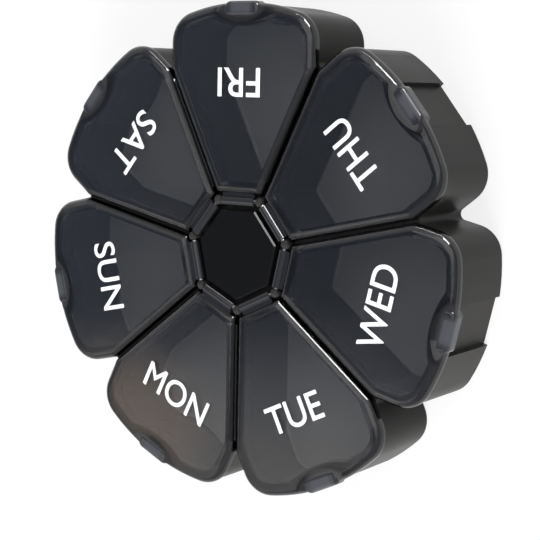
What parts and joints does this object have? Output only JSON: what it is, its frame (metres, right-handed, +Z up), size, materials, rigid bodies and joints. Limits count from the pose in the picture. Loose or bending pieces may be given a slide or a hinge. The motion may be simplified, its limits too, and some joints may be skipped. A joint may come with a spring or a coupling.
{
  "type": "weekly pill organizer",
  "caption": "Flower-shaped pill organizer: petal-shaped cups round a hub, each under a smoky lid that is hinged at the hub and opened by its thumb tab.",
  "frame": {"origin": "centre of the tray's base, on the hub's axis, at the surface that the organizer rests on", "axes": "+Z up along the hub's axis, through the lids; the Friday petal points along +Y"},
  "size_m": [0.1234, 0.1229, 0.0244],
  "materials": {
    "tray_plastic": "satin dark grey moulded plastic",
    "lid_plastic": "glossy smoky translucent plastic",
    "cap_plastic": "glossy near-black plastic",
    "pin_steel": "plain drawn steel pin"
  },
  "bodies": {
    "organizer": {"tray": "tray_plastic", "hub_cap": "cap_plastic", "hinge_pin_friday": "pin_steel", "hinge_pin_saturday": "pin_steel", "hinge_pin_sunday": "pin_steel", "hinge_pin_monday": "pin_steel", "hinge_pin_tuesday": "pin_steel", "hinge_pin_wednesday": "pin_steel", "hinge_pin_thursday": "pin_steel"},
    "friday_lid": {"lid_friday": "lid_plastic"},
    "saturday_lid": {"lid_saturday": "lid_plastic"},
    "sunday_lid": {"lid_sunday": "lid_plastic"},
    "monday_lid": {"lid_monday": "lid_plastic"},
    "tuesday_lid": {"lid_tuesday": "lid_plastic"},
    "wednesday_lid": {"lid_wednesday": "lid_plastic"},
    "thursday_lid": {"lid_thursday": "lid_plastic"}
  },
  "joints": [
    {"name": "friday_lid_hinge", "type": "hinge", "parent": "organizer", "child": "friday_lid", "pos_m": [0, 0.013, 0.02315], "axis": [1, 0, 0], "range_deg": [0, 80]},
    {"name": "saturday_lid_hinge", "type": "hinge", "parent": "organizer", "child": "saturday_lid", "pos_m": [-0.01016, 0.00811, 0.02315], "axis": [-0.6235, -0.7818, 0], "range_deg": [-80, 0]},
    {"name": "sunday_lid_hinge", "type": "hinge", "parent": "organizer", "child": "sunday_lid", "pos_m": [-0.01267, -0.00289, 0.02315], "axis": [-0.2225, 0.9749, 0], "range_deg": [0, 38]},
    {"name": "monday_lid_hinge", "type": "hinge", "parent": "organizer", "child": "monday_lid", "pos_m": [-0.00564, -0.01171, 0.02315], "axis": [-0.901, 0.4339, 0], "range_deg": [0, 80]},
    {"name": "tuesday_lid_hinge", "type": "hinge", "parent": "organizer", "child": "tuesday_lid", "pos_m": [0.00564, -0.01171, 0.02315], "axis": [0.901, 0.4339, 0], "range_deg": [-80, 0]},
    {"name": "wednesday_lid_hinge", "type": "hinge", "parent": "organizer", "child": "wednesday_lid", "pos_m": [0.01267, -0.00289, 0.02315], "axis": [-0.2225, -0.9749, 0], "range_deg": [0, 80]},
    {"name": "thursday_lid_hinge", "type": "hinge", "parent": "organizer", "child": "thursday_lid", "pos_m": [0.01016, 0.00811, 0.02315], "axis": [-0.6235, 0.7818, 0], "range_deg": [-80, 0]}
  ]
}
